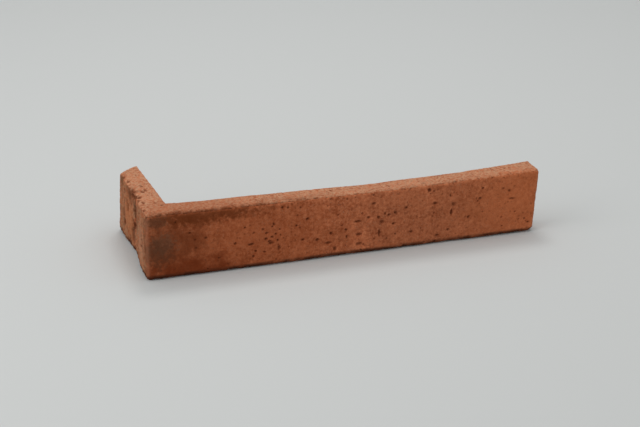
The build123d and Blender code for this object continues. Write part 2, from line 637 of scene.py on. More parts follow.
    def _patches(self, name: str, place: Socket | None = None) -> Socket:
        """Adds the noise of that field, with its size from the tree's input."""
        size = self._in(f"{name}_size")
        return self.wiring.patches(place or self.place, getattr(self, name), size)

    def _guide(self, guide: Guide) -> Socket:
        """Gives the geometry of a helper object."""
        feeds = {"Object": self._in(guide.value)}
        return self.wiring.read("GeometryNodeObjectInfo", "Geometry", feeds)

    def _distance_to(self, geometry: Socket, element: str = "EDGES") -> Socket:
        """Gives how far each vertex lies from the edges or faces of a geometry."""
        feeds = {"Geometry": geometry}
        return self.wiring.read("GeometryNodeProximity", "Distance", feeds, target_element=element)

    def _blurred(self, value: Socket, steps: str, kind: str = "FLOAT") -> Socket:
        """Smooths a field over the neighbours of each vertex, as often as that input says."""
        feeds = {"Value": value, "Iterations": self._in(steps), "Weight": 1.0}
        return self.wiring.read("GeometryNodeBlurAttribute", "Value", feeds, data_type=kind)

    def _softened(self) -> Socket:
        """Rounds the crisp edges of the moulded faces, and leaves the cuts' arrises alone.

        Returns:
            The softened solid.
        """
        w = self.wiring
        rounded = self._blurred(self._position(), "soften_steps", "FLOAT_VECTOR")
        amount = w.ramp(self._blurred(self.sawn_mask, "guard_steps"), self.guard)
        spot = w.blend(amount, self._position(), rounded, "VECTOR")
        feeds = {"Geometry": self._in("solid"), "Position": spot}
        return w.read("GeometryNodeSetPosition", "Geometry", feeds)

    def _arris(self) -> Socket:
        """Finds the rounded arrises.

        Returns:
            A mask that is high on them and fades out beside them.
        """
        w = self.wiring
        steepest = w.most(*[w.math("ABSOLUTE", part) for part in w.parts(self._normal())])
        edge = self._blurred(w.ramp(w.flipped(steepest), self.arris_tilt), "arris_steps")
        return w.math("MULTIPLY", edge, self._in("arris_gain"), clamp=True)

    def _level(self) -> Socket:
        """Tells the two beds from the upright sides.

        Returns:
            A mask that is high round both beds and zero along the upright arrises.
        """
        w = self.wiring
        tilted = w.ramp(w.math("ABSOLUTE", w.parts(self._normal())[2]), self.level_tilt)
        blurred = self._blurred(tilted, "arris_steps")
        return w.math("MULTIPLY", blurred, self._in("level_gain"), clamp=True)

    def _edge_wear(self) -> Socket:
        """Wears the arrises.

        Returns:
            The depth to which they are rounded, chipped and sagged.
        """
        w = self.wiring
        rounded = self._worn_corners()
        more = w.math("MULTIPLY_ADD", rounded, self._in("chip_gain"), self._in("chip_least"))
        crumbled = w.times(self._chips(), more)
        taken = w.total(w.times(rounded, self._in("worn_depth")), crumbled, self._foot())
        return w.math("MINIMUM", taken, self._in("deepest_edge"))

    def _foot(self) -> Socket:
        """Wears the ragged foot, where soft clay sagged clear of the board.

        Returns:
            Its depth.
        """
        w = self.wiring
        along, _, up = w.parts(self._position())
        low = w.ramp(w.math("DIVIDE", up, self._in("foot_height")), self.foot_low)
        uneven = w.total(self._patches("foot_rag"), w.ramp(along, self.foot_far))
        low = w.times(low, w.ramp(along, self.foot_near))
        return w.times(low, uneven, self._in("foot_depth"))

    def _moulded_offset(self, depth: Socket) -> Socket:
        """Turns a depth into a move inwards, one that keeps the saw cuts flat.

        The clay next to a cut moves only within the cut's own plane, and the cut itself follows
        its rim and then fades out, so that no lip is left standing along its arris.

        Args:
            depth: How deep the moulded faces are worn.

        Returns:
            The move of each vertex.
        """
        w = self.wiring
        outward = self._attribute(Zone.OUTWARD, "FLOAT_VECTOR")
        feeds = {"Geometry": self.solid, "Selection": w.math("LESS_THAN", self.sawn_mask, HALF)}
        rest = w.read("GeometryNodeSeparateGeometry", "Selection", feeds, domain="FACE")
        feeds = {"Mesh": rest, "Value": outward}
        rim = w.read("GeometryNodeSampleNearestSurface", "Value", feeds, data_type="FLOAT_VECTOR")
        fade = w.ramp(self._distance_to(rest, "FACES"), self.cut_fade)
        along = w.blend(self.sawn_mask, outward, w.scaled(rim, fade), "VECTOR")
        return w.scaled(along, w.times(depth, -1.0))

    def _skin(self) -> Socket:
        """Presses in the hollows where clay missed the mould, and the sand grain.

        Returns:
            Their depth.
        """
        w = self.wiring
        open_sides = w.most(self._attribute(Zone.HEADER), self._attribute(Zone.UPPER_BED))
        patchy = w.times(open_sides, self._patches("rough"))
        rougher = w.math("MULTIPLY_ADD", patchy, self._in("rough_gain"), self._in("rough_least"))
        near_cut = w.times(self._blurred(self.sawn_mask, "margin_steps"), self._in("margin_gain"))
        away = w.math("SUBTRACT", 1.0, near_cut, clamp=True)
        held = w.math("MULTIPLY_ADD", away, self._in("inner_rough"), self._in("margin_rough"))
        fine = w.total(
            w.times(self._patches("lump"), self._in("lump_depth")),
            w.times(self._patches("grain"), self._in("grain_depth")),
        )
        swell = w.times(self._patches("swell"), self._in("swell_depth"))
        return w.total(swell, w.times(fine, w.times(rougher, held)))

    def _folds(self) -> Socket:
        """Presses in the upright folds that the thrown clay left in the header face.

        Returns:
            Their depth.
        """
        w = self.wiring
        stretched = w.vector("MULTIPLY", self.place, self.fold_stretch)
        folded = w.total(
            w.times(self._patches("fold", stretched), self._in("fold_depth")),
            w.times(self._patches("streak", stretched), self._in("streak_depth")),
        )
        return w.times(folded, self._attribute(Zone.HEADER))

    def _chips(self) -> Socket:
        """Breaks out crumbled chips, which the arris mask keeps to the arrises.

        Returns:
            Their depth.
        """
        w = self.wiring
        crumbs = w.noise(self.place, w.times(self._in("chip_size"), self._in("crumb_share")))
        crumbled = w.total(self._patches("chip"), w.times(crumbs, self._in("crumb_depth")))
        return w.times(crumbled, self._in("chip_depth"))

    def _worn_corners(self) -> Socket:
        """Finds the runs of arris that are rounded and crumbled most.

        Returns:
            A mask that is high near them.
        """
        w = self.wiring
        away = self._distance_to(self._guide(Guide.WORN_CORNERS))
        return w.ramp(w.math("DIVIDE", away, self._in("worn_reach")), self.worn_fade)

    def _sampled(self, points: Socket, value: Socket, index: Socket, kind: str) -> Socket:
        """Reads a value off a point.

        Args:
            points: The points.
            value: The field on them.
            index: The point's index, for each vertex.
            kind: What the field holds.

        Returns:
            The point's value, for each vertex.
        """
        feeds = {"Geometry": points, "Value": value, "Index": index}
        settings = {"data_type": kind, "domain": "POINT"}
        return self.wiring.read("GeometryNodeSampleIndex", "Value", feeds, **settings)

    def _bowls(self, points: Socket, reach: Socket, sink: Socket) -> Pair:
        """Carves a bowl at each point, with a rim that a noise makes uneven.

        Args:
            points: The middles of the bowls.
            reach: Half the size of each along X, Y and Z, as a field on the points.
            sink: The depth of each, as a field on the points.

        Returns:
            How far inside its bowl each vertex lies, from 0 to 1, and its depth.
        """
        w = self.wiring
        middle = (HALF, HALF, HALF)
        feeds = {
            "Vector": self.place,
            "Scale": self._in("warp_scale"),
            "Detail": self._in("warp_detail"),
            "Roughness": self._in("warp_roughness"),
        }
        wobble = w.read("ShaderNodeTexNoise", "Color", feeds)
        bend = w.scaled(w.vector("SUBTRACT", wobble, middle), self._in("warp_reach"))
        feeds = {"Geometry": points}
        index = w.read("GeometryNodeSampleNearest", "Index", feeds, domain="POINT")
        spot = self._position()
        centre = self._sampled(points, spot, index, "FLOAT_VECTOR")
        away = w.vector("SUBTRACT", w.vector("ADD", spot, bend), centre)
        own_reach = self._sampled(points, reach, index, "FLOAT_VECTOR")
        bowl = w.ramp(w.length(w.vector("DIVIDE", away, own_reach)), self.bowl)
        return bowl, w.times(bowl, self._sampled(points, sink, index, "FLOAT"))

    def _strewn(self, density: str, factor: Socket, widest: str, turn: Fed) -> Pair:
        """Strews small round pits over the solid.

        Args:
            density: The name of the input for the most pits on a square metre.
            factor: The share of that, as a field.
            widest: The name of the input for the largest pit, as a share of the pit radius.
            turn: What is added to the seed.

        Returns:
            How far inside its pit each vertex lies, from 0 to 1, and its depth.
        """
        w = self.wiring
        seed = w.total(self._in("seed"), turn)
        feeds = {
            "Mesh": self.solid,
            "Distance Min": self._in("pit_spacing"),
            "Density Max": self._in(density),
            "Density Factor": factor,
            "Seed": seed,
        }
        settings = {"distribute_method": "POISSON"}
        strewn = w.read("GeometryNodeDistributePointsOnFaces", "Points", feeds, **settings)
        feeds = {"Min": 0.0, "Max": 1.0, "Seed": seed}
        dice = w.read("FunctionNodeRandomValue", "Value", feeds, data_type="FLOAT")
        few_large = w.math("POWER", dice, self._in("pit_bias"))
        least = self._in("pit_least")
        span = w.math("SUBTRACT", self._in(widest), least)
        radius = w.times(self._in("pit_radius"), w.math("MULTIPLY_ADD", few_large, span, least))
        points = self._stored(strewn, Zone.BOWL, radius)
        own = self._attribute(Zone.BOWL)
        spread = w.read("ShaderNodeCombineXYZ", "Vector", {"X": own, "Y": own, "Z": own})
        return self._bowls(points, spread, w.times(own, self._in("pit_sink")))

    def _pits(self) -> Pair:
        """Carves the pits read off the piece and many small ones over the moulded faces.

        Returns:
            The mask of the hollows, and their depth.
        """
        w = self.wiring
        reach = self._attribute(Zone.REACH, "FLOAT_VECTOR")
        marks = self._guide(Guide.PIT_MARKS)
        named, first = self._bowls(marks, reach, self._attribute(Zone.SINK))
        away = self._distance_to(self._guide(Guide.PIT_CLUSTER))
        crowded = w.ramp(w.math("DIVIDE", away, self._in("cluster_reach")), self.cluster)
        factor = w.times(w.most(self._patches("pit_patch"), crowded), self.moulded_mask)
        small, second = self._strewn("pit_density", factor, "pit_widest", 0.0)
        mask = w.most(named, w.times(small, self._in("small_pit_tone")))
        return mask, w.most(first, second)

    def _voids(self) -> Socket:
        """Carves the small voids that the saw opened in the backs, straight into the cut.

        Returns:
            The move of each vertex.
        """
        w = self.wiring
        turn = self._in("void_turn")
        _, depth = self._strewn("void_density", self.sawn_mask, "void_widest", turn)
        inner = w.ramp(self._blurred(self.sawn_mask, "void_steps"), self.void_guard)
        return w.scaled(self._normal(), w.times(depth, inner, -1.0))

    def _crease(self) -> Pair:
        """Carves the crease where two folds of clay met in the mould, down the header face.

        Returns:
            The mask of the crease, and its depth.
        """
        w = self.wiring
        wide = w.times(self._in("crease_width"), self._patches("crease_rag"))
        bend = w.math("SUBTRACT", w.noise(self.place, self._in("wobble_size")), HALF)
        away = self._distance_to(self._guide(Guide.CREASE_LINE))
        share = w.total(w.math("DIVIDE", away, wide), w.times(bend, self._in("wobble_reach")))
        groove = w.ramp(share, self.crease_fade)
        return groove, w.times(groove, self._in("crease_depth"))


@dataclass
class Slip:
    """The fired piece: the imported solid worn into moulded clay, in its two finishes.

    Sizes are in metres. The places of the crease, the worn runs of arris and the pit cluster are
    in mm from the outer foot corner.
    """

    name: str = "moulded_clay_slip"
    voxel: float = 0.42 * MM
    triangles: int = 190000
    cut_reach: float = 0.7 * MM
    settle_height: float = 2.5 * MM
    weld: float = 0.002 * MM
    pit_through: float = 2.6 * MM
    pit_share: float = 0.85
    pit_spread: float = 1.2
    least_outward: float = 0.3
    bed_turn: tuple[float, float] = (0.4, 0.5)
    header_turn: tuple[float, float] = (0.72, 0.25)
    crease_steps: tuple[tuple[float, float], ...] = (
        (39, 48), (37, 42), (37.5, 37), (39.5, 28), (46, 22), (50, 18), (50, 11), (53, 6),
    )
    worn_runs: tuple[Run, ...] = (
        ((2, 0, 48), (52, 0, 48)),
        ((78, 0, 48), (90, 0, 48)),
        ((262, 0, 0), (286, 0, 0)),
    )
    pit_cluster: Run = ((83, 0, 22), (97, 0, 18))

    def __post_init__(self) -> None:
        """Reads the node's box and the planes of the two saw cuts from the frame."""
        self.node = frame["nodes"][NODE]
        self.low, self.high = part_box(NODE)
        self.cuts = [SawCut.from_mount("stretcher_back"), SawCut.from_mount("header_back")]

    def build(self, moulded: Material, sawn: Material) -> Object:
        """Makes the piece.

        Args:
            moulded: The finish of the faces that touched the mould.
            sawn: The finish of the two cut backs.

        Returns:
            The finished object, at the origin, with its place in its mesh.
        """
        dense = self._dense_copy()
        self._mark_zones(dense.data)
        worn = self._worn(dense, ReliefTree(moulded, sawn))
        thin = self._thinned(worn)
        self._settle(thin.data)
        thin.data.shade_smooth()
        log.info("%s has %d faces", thin.name, len(thin.data.polygons))
        return thin

    def _object(self, name: str, mesh: Mesh) -> Object:
        """Puts a mesh into the scene as an object at the origin.

        Args:
            name: The object's name.
            mesh: Its mesh.

        Returns:
            The object.
        """
        made = bpy.data.objects.new(name, mesh)
        bpy.context.scene.collection.objects.link(made)
        return made

    def _plain(self, piece: Object, name: str) -> Object:
        """Turns a piece with modifiers into a plain mesh, and removes the old piece.

        Args:
            piece: The old piece.
            name: The new one's name.

        Returns:
            The new piece.
        """
        seen = bpy.context.evaluated_depsgraph_get()
        kept = {"preserve_all_data_layers": True, "depsgraph": seen}
        mesh = bpy.data.meshes.new_from_object(piece.evaluated_get(seen), **kept)
        mesh.name = name
        bpy.data.objects.remove(piece)
        return self._object(name, mesh)

    def _dense_copy(self) -> Object:
        """Copies the node's mesh, welds its loose triangles and gives it even, small faces.

        Returns:
            The dense copy.
        """
        mesh = self.node.data.copy()
        mesh.materials.clear()
        shell = bmesh.new()
        shell.from_mesh(mesh)
        bmesh.ops.remove_doubles(shell, verts=shell.verts, dist=self.weld)
        bmesh.ops.recalc_face_normals(shell, faces=shell.faces)
        shell.to_mesh(mesh)
        shell.free()
        copy = self._object("smooth_slip", mesh)
        remesh = copy.modifiers.new("even_faces", "REMESH")
        remesh.mode = "VOXEL"
        remesh.voxel_size = self.voxel
        remesh.adaptivity = 0.0
        return self._plain(copy, "dense_slip")

    def _mark_zones(self, mesh: Mesh) -> None:
        """Stores where the cuts, the upper bed and the header are, and which way is out.

        Args:
            mesh: The mesh that gets the attributes.
        """
        places = self._read(mesh.vertices, "co")
        normals = self._read(mesh.vertex_normals, "vector")
        sawn = np.zeros(len(places), bool)
        outward = normals.copy()
        for cut in self.cuts:
            sawn |= cut.covers(places, normals, self.cut_reach)
            outward = cut.kept_flat(places, outward, self.cut_reach)
        length = np.linalg.norm(outward, axis=1, keepdims=True)
        unit = outward / np.maximum(length, self.least_outward)
        outward = np.where(length > self.least_outward, unit, 0.0)
        self._store(mesh, Zone.OUTWARD, outward, "FLOAT_VECTOR")
        self._store(mesh, Zone.SAWN, sawn)
        self._store(mesh, Zone.UPPER_BED, self._facing(normals[:, 2], self.bed_turn))
        self._store(mesh, Zone.HEADER, self._facing(-normals[:, 0], self.header_turn))

    @staticmethod
    def _facing(share: np.ndarray, turn: tuple[float, float]) -> np.ndarray:
        """Rises from 0 to 1 with how far the vertices face a way, from a start over a width."""
        start, width = turn
        return np.clip((share - start) / width, 0, 1)

    @staticmethod
    def _read(rows: Rows, column: str) -> np.ndarray:
        """Reads a place or a direction of each vertex.

        Args:
            rows: The vertices or their normals.
            column: What is read of each.

        Returns:
            Three numbers for each vertex.
        """
        values = np.empty(len(rows) * 3, np.float32)
        rows.foreach_get(column, values)
        return values.reshape(-1, 3)

    @staticmethod
    def _store(mesh: Mesh, zone: Zone, values: np.ndarray, kind: str = "FLOAT") -> None:
        """Stores a number or a vector for each vertex.

        Args:
            mesh: The mesh.
            zone: The attribute's name.
            values: The numbers or vectors.
            kind: Which of the two they are.
        """
        attribute = mesh.attributes.new(zone.value, kind, "POINT")
        column = "vector" if kind == "FLOAT_VECTOR" else "value"
        attribute.data.foreach_set(column, np.ascontiguousarray(values, np.float32).ravel())

    def _on_surface(self, place_mm: Vector) -> Vector:
        """Moves a place that was measured from the outer foot corner onto the solid's surface."""
        return self.node.closest_point_on_mesh(self.low + place_mm * MM)[1]

    def _pit_marks(self) -> Object:
        """Makes the middles of the pits read off the piece, with their half sizes and depths.

        Returns:
            The points.
        """
        height = (self.high.z - self.low.z) / MM
        places, reaches, sinks = [], [], []
        for side, marks in PIT_MARKS.items():
            for mark in marks:
                places.append(self._on_surface(side.spot(mark.first, mark.second, height)))
                wide, tall = mark.wide * self.pit_spread * MM, mark.tall * self.pit_spread * MM
                reaches.append(side.reach(wide, tall, self.pit_through))
                sinks.append(mark.deep * self.pit_share * MM)
        marks = self._lines("pit_marks", places, [])
        self._store(marks.data, Zone.REACH, np.array(reaches), "FLOAT_VECTOR")
        self._store(marks.data, Zone.SINK, np.array(sinks))
        return marks

    def _lines(self, name: str, places: list[Vector], runs: list[tuple]) -> Object:
        """Makes points, and straight lines between them.

        Args:
            name: The object's name.
            places: The points.
            runs: The pairs of points that are joined.

        Returns:
            The object.
        """
        mesh = bpy.data.meshes.new(name)
        mesh.from_pydata(places, runs, [])
        return self._object(name, mesh)

    def _crease_line(self) -> Object:
        """Makes the line of the crease down the header face, from the bed to near the foot."""
        places = [self._on_surface(Side.HEADER.spot(*step)) for step in self.crease_steps]
        return self._lines("crease_line", places, [(i, i + 1) for i in range(len(places) - 1)])

    def _straight_runs(self, name: str, runs: tuple[Run, ...]) -> Object:
        """Makes a separate short line for each run between two places."""
        places = [self.low + Vector(place) * MM for run in runs for place in run]
        return self._lines(name, places, [(i, i + 1) for i in range(0, len(places), 2)])

    def _worn(self, dense: Object, relief: ReliefTree) -> Object:
        """Runs the relief tree over the dense copy and keeps the result as a plain mesh.

        Args:
            dense: The dense copy, which is used up.
            relief: The tree.

        Returns:
            The worn piece.
        """
        tree = relief.build()
        helpers = {
            Guide.PIT_MARKS.value: self._pit_marks(),
            Guide.CREASE_LINE.value: self._crease_line(),
            Guide.WORN_CORNERS.value: self._straight_runs("worn_corners", self.worn_runs),
            Guide.PIT_CLUSTER.value: self._straight_runs("pit_cluster", (self.pit_cluster,)),
        }
        wear = dense.modifiers.new("worn_clay", "NODES")
        wear.node_group = tree
        for name, value in {**relief.values(), **helpers}.items():
            wear[relief.sockets[name]] = value
        worn = self._plain(dense, "worn_slip")
        for helper in helpers.values():
            bpy.data.objects.remove(helper)
        return worn

    def _thinned(self, worn: Object) -> Object:
        """Takes faces away where the clay is flat, until the piece is light enough.

        Args:
            worn: The worn piece, which is used up.

        Returns:
            The lighter piece.
        """
        worn.data.calc_loop_triangles()
        fewer = worn.modifiers.new("fewer_faces", "DECIMATE")
        fewer.ratio = min(1.0, self.triangles / len(worn.data.loop_triangles))
        return self._plain(worn, self.name)

    def _settle(self, mesh: Mesh) -> None:
        """Lets the lowest clay touch the floor, and keeps every vertex inside the solid's box.

        Args:
            mesh: The piece's mesh.
        """
        places = self._read(mesh.vertices, "co")
        gap = places[:, 2].min() - self.low.z
        near_floor = np.clip(1.0 - (places[:, 2] - self.low.z) / self.settle_height, 0, 1)
        places[:, 2] -= gap * near_floor
        places = np.clip(places, np.array(self.low, np.float32), np.array(self.high, np.float32))
        mesh.vertices.foreach_set("co", places.ravel())
        mesh.update()


class ShaderGroup:
    """A shader node group that several finishes share.

    Its layers are the detail and the roughness of its noise.
    """

    title = "group"
    takes: dict[str, float | tuple] = {}
    gives: tuple[str, ...] = ()
    layers: tuple[float, float] = (2.0, 0.7)

    def __init__(self) -> None:
        """Makes the group with its named inputs and outputs, and wires its inside."""
        self.tree = bpy.data.node_groups.new(self.title, "ShaderNodeTree")
        face = self.tree.interface
        for name, value in self.takes.items():
            kind = SOCKET_KINDS[type(value)]
            face.new_socket(name=name, in_out="INPUT", socket_type=kind).default_value = value
        for name in self.gives:
            face.new_socket(name=name, in_out="OUTPUT", socket_type=SOCKET_KINDS[float])
        wiring = Wiring(self.tree)
        entry = wiring.node("NodeGroupInput")
        leave = wiring.node("NodeGroupOutput")
        results = self.wire(wiring, {name: entry.outputs[name] for name in self.takes})
        for name, socket in results.items():
            wiring.put(leave.inputs[name], socket)

    def wire(self, w: Wiring, given: dict[str, Socket]) -> dict[str, Socket]:
        """Wires the group's inside, from its inputs to its outputs."""
        raise NotImplementedError

    def place(self, w: Wiring, **feeds: Fed) -> Node:
        """Puts the group into a material.

        Args:
            w: The material's wiring.
            **feeds: Its inputs, with underscores for the spaces in their names.

        Returns:
            The group node.
        """
        made = w.node("ShaderNodeGroup", node_tree=self.tree)
        for name, value in feeds.items():
            w.put(made.inputs[titled(name)], value)
        return made


class Mottling(ShaderGroup):
    """Uneven firing: soft patches of lighter and darker clay at two sizes."""

    title = "clay_mottling"
    takes = {"Place": ORIGIN, "Patch size": 16 * MM, "Fleck size": 3 * MM}
    gives = ("Patches", "Flecks")
    patch = Patches(takes["Patch size"], Rise(0.32, 0.68), 4.0, 0.6)
    fleck = Patches(takes["Fleck size"], Rise(0.38, 0.62), 3.0, 0.65)

    def wire(self, w: Wiring, given: dict[str, Socket]) -> dict[str, Socket]:
        """Makes the two masks from noises."""
        return {
            "Patches": w.patches(given["Place"], self.patch, given["Patch size"]),
            "Flecks": w.patches(given["Place"], self.fleck, given["Fleck size"]),
        }


class SandGrain(ShaderGroup):
    """Moulding sand burnt into the face: single grains, lighter than the clay, and their height."""

    title = "sand_grain"
    takes = {"Place": ORIGIN, "Grain size": 1.3 * MM, "Share": 0.3}
    gives = ("Grains", "Height")
    layers = (3.0, 0.7)
    dot = Rise(0.5, 0.2)
    grain_height = 0.6
    rough_size = 0.7

    def wire(self, w: Wiring, given: dict[str, Socket]) -> dict[str, Socket]:
        """Makes grains from the cells of a Voronoi pattern, a share of which is left.

        Args:
            w: The group's wiring.
            given: Its inputs, by name.

        Returns:
            What its outputs give, by name.
        """
        scale = w.math("DIVIDE", 1.0, given["Grain size"])
        cells = w.node("ShaderNodeTexVoronoi", {"Vector": given["Place"], "Scale": scale})
        tint = w.pick(cells.outputs, "Color")
        lot = w.node("ShaderNodeSeparateColor", {"Color": tint}).outputs[0]
        chosen = w.math("LESS_THAN", lot, given["Share"])
        grains = w.times(w.ramp(w.pick(cells.outputs, "Distance"), self.dot), chosen)
        size = w.times(given["Grain size"], self.rough_size)
        rough = w.noise(given["Place"], size, *self.layers)
        return {"Grains": grains, "Height": w.total(w.times(grains, self.grain_height), rough)}


class RaggedPatch(ShaderGroup):
    """One soft patch with a ragged rim, used for kiln marks and for painted shade."""

    title = "fire_mark"
    takes = {"Place": ORIGIN, "Centre": ORIGIN, "Reach": ORIGIN, "Ragged": 1.1, "Rag size": 8 * MM}
    gives = ("Mask",)
    layers = (4.0, 0.6)
    fade = Rise(1.1, 0.3)

    def wire(self, w: Wiring, given: dict[str, Socket]) -> dict[str, Socket]:
        """Fades out from the centre to the reach, bent by a noise.

        Args:
            w: The group's wiring.
            given: Its inputs, by name.

        Returns:
            What its outputs give, by name.
        """
        away = w.vector("SUBTRACT", given["Place"], given["Centre"])
        share = w.length(w.vector("DIVIDE", away, given["Reach"]))
        noise = w.noise(given["Place"], given["Rag size"], *self.layers)
        rag = w.math("SUBTRACT", noise, HALF)
        return {"Mask": w.ramp(w.total(share, w.times(rag, given["Ragged"])), self.fade)}


class SawLines(ShaderGroup):
    """Fine lines that a saw blade leaves along a cut."""

    title = "saw_lines"
    takes = {"Place": ORIGIN, "Spacing": 1.4 * MM, "Bow": 0.5}
    gives = ("Lines",)
    stretch = 0.02

    def wire(self, w: Wiring, given: dict[str, Socket]) -> dict[str, Socket]:
        """Stretches a noise along the cut, and bows it as a round blade does.

        Args:
            w: The group's wiring.
            given: Its inputs, by name.

        Returns:
            What its outputs give, by name.
        """
        along, back, up = w.parts(given["Place"])
        run = w.total(along, back)
        across = w.total(up, w.times(run, run, given["Bow"]))
        feeds = {"X": w.times(run, self.stretch), "Y": 0.0, "Z": across}
        line = w.read("ShaderNodeCombineXYZ", "Vector", feeds)
        return {"Lines": w.noise(line, given["Spacing"], *self.layers)}


@dataclass
class Groups:
    """The shader groups, each built once."""

    mottling: Mottling = field(default_factory=Mottling)
    grain: SandGrain = field(default_factory=SandGrain)
    mark: RaggedPatch = field(default_factory=RaggedPatch)
    saw: SawLines = field(default_factory=SawLines)


@dataclass(frozen=True)
class StainAndShadeMark:
    """One mark, in mm: its centre from the outer foot corner, its reach, and its rim's rags. Most
    are kiln marks, and some are painted shade.
    """

    centre: Triple
    reach: Triple
    colour: Colour
    strength: float
    rag: float = 8.0
    ragged: float = 1.1


@dataclass(frozen=True)
class MouldedClay:
    """Finish of the faces that touched the sanded mould, with painted shade in its hollows and
    folds, under its upper arris and along its foot.
    """

    clay: Colour = (0.50, 0.140, 0.056)
    pale: Colour = (0.66, 0.225, 0.102)
    dark: Colour = (0.26, 0.058, 0.020)
    dust: Colour = (0.50, 0.262, 0.152)
    header_dust: Colour = (0.34, 0.172, 0.090)
    rubbed: Colour = (0.50, 0.235, 0.140)
    sand: Colour = (0.62, 0.33, 0.20)
    speck: Colour = (0.13, 0.030, 0.010)
    # Painted shade: the colour of the shade in the header's upright folds.
    streak: Colour = (0.16, 0.066, 0.030)
    # Painted shade: the colour of the contact shadow along the foot.
    foot: Colour = (0.050, 0.015, 0.007)
    # Painted shade: the colour laid into the pits, the crease and the deeper-worn relief.
    pore: Colour = (0.12, 0.028, 0.009)
    clay_share: float = 0.75
    pale_share: float = 0.39
    sand_share: float = 0.35
    speck_share: float = 0.5
    rubbed_share: float = 0.2
    hollow_share: float = 0.8
    dust_gain: float = 0.75
    dust_least: float = 0.22
    fine_patch: float = 7 * MM
    fine_fleck: float = 1.9 * MM
    sand_size: float = 1.3 * MM
    speck_size: float = 2.3 * MM
    strewn: float = 0.3
    # Painted shade of the header's upright folds, as dark marks stretched upright.
    streak_stretch: Triple = (1.0, 1.0, 0.22)
    streaks: Patches = Patches(3.2 * MM, Rise(0.48, 0.66, 0.0, 0.6), 3.0, 0.6)
    # Painted shade: how the deeper-worn relief darkens with its depth in mm.
    sunk: Rise = Rise(0.9, 2.7, 0.0, 0.7)
    # Painted shade along the foot: the contact shadow, patchy along the run.
    smoke_height: Rise = Rise(4.6 * MM, 2.4 * MM, 0.0, 0.9)
    smoke: Patches = Patches(8 * MM, Rise(0.3, 0.6, 0.45, 1.0))
    roughness: float = 0.92
    bump: float = 0.3 * MM
    stains: tuple[StainAndShadeMark, ...] = (
        StainAndShadeMark((70, 0, 20), (95, 9, 48), (0.28, 0.065, 0.019), 0.56),
        StainAndShadeMark((275, 0, 24), (62, 9, 40), (0.49, 0.135, 0.047), 0.6),
        StainAndShadeMark((205, 0, 20), (75, 9, 45), (0.25, 0.079, 0.033), 0.33),
        StainAndShadeMark((34, 8, 48), (62, 22, 5), (0.30, 0.080, 0.030), 0.38, 4.0),
        StainAndShadeMark((105, 5, 48), (30, 9, 4), (0.24, 0.085, 0.038), 0.4, 4.0, 2.0),
        StainAndShadeMark((12, 0, 24), (42, 10, 28), (0.138, 0.031, 0.009), 0.72),
        # Painted shade: the dark band in the hollow under the ragged upper arris of the stretcher.
        StainAndShadeMark((36, 0, 44), (58, 5, 8), (0.13, 0.028, 0.006), 0.8, 3.5, 2.2),
        StainAndShadeMark((26, 0, 4), (52, 9, 14), (0.170, 0.030, 0.007), 0.8),
        StainAndShadeMark((12, 0, 26), (12, 9, 10), (0.15, 0.072, 0.040), 0.55, 2.2, 3.0),
        StainAndShadeMark((9, 0, 20), (12, 8, 12), (0.10, 0.038, 0.018), 0.6, 3.0, 2.4),
        StainAndShadeMark((7, 0, 43), (12, 8, 6), (0.13, 0.055, 0.028), 0.55, 2.4, 2.6),
        StainAndShadeMark((0.5, 82, 43), (5, 10, 9), (0.15, 0.072, 0.033), 0.75, 4.0, 2.0),
        StainAndShadeMark((2, 20, 20), (8, 13, 26), (0.46, 0.225, 0.135), 0.4),
        StainAndShadeMark((2, 60, 24), (8, 15, 26), (0.47, 0.165, 0.068), 0.6),
        StainAndShadeMark((2, 54, 42), (6, 10, 8), (0.14, 0.042, 0.018), 0.7, 4.0, 1.6),
        # Painted shade in the header's deep hole, its crease and the pit near its top: the next
        # three.
        StainAndShadeMark((2, 38, 32), (8, 6, 13), (0.075, 0.030, 0.014), 0.85, 4.0, 1.4),
        StainAndShadeMark((2, 51, 15), (8, 4, 13), (0.065, 0.024, 0.011), 0.8, 4.0, 1.4),
        StainAndShadeMark((2, 45, 46), (6, 7, 5), (0.17, 0.055, 0.022), 0.6, 4.0, 1.6),
    )

    def build(self, groups: Groups, corner: Vector) -> Material:
        """Makes the material.

        Args:
            groups: The shared shader groups.
            corner: The outer foot corner, from which the marks are measured.

        Returns:
            The material.
        """
        material, w, shader = blank_material("moulded_clay", self.roughness)
        place = w.read("ShaderNodeTexCoord", "Object")
        broad = groups.mottling.place(w, place=place).outputs
        sizes = {"patch_size": self.fine_patch, "fleck_size": self.fine_fleck}
        fine = groups.mottling.place(w, place=place, **sizes).outputs
        sizes = {"grain_size": self.sand_size, "share": self.strewn}
        grain = groups.grain.place(w, place=place, **sizes).outputs
        sizes = {"grain_size": self.speck_size, "share": self.strewn}
        specks = groups.grain.place(w, place=place, **sizes).outputs
        colour = w.blend(w.times(broad["Patches"], self.clay_share), self.dark, self.clay)
        flecks = w.times(w.total(broad["Flecks"], fine["Flecks"]), self.pale_share)
        colour = w.blend(flecks, colour, self.pale)
        sandy = w.times(grain["Grains"], fine["Patches"], self.sand_share)
        colour = w.blend(sandy, colour, self.sand)
        colour = self._dusted(w, colour, place, fine["Flecks"])
        colour = self._stained(w, colour, place, groups.mark, corner)
        bare = w.flipped(fine["Patches"])
        colour = w.blend(w.times(specks["Grains"], bare, self.speck_share), colour, self.speck)
        colour = self._worn(w, colour, place)
        w.put(shader.inputs["Base Color"], colour)
        add_bump(w, shader, grain["Height"], self.bump)
        return material

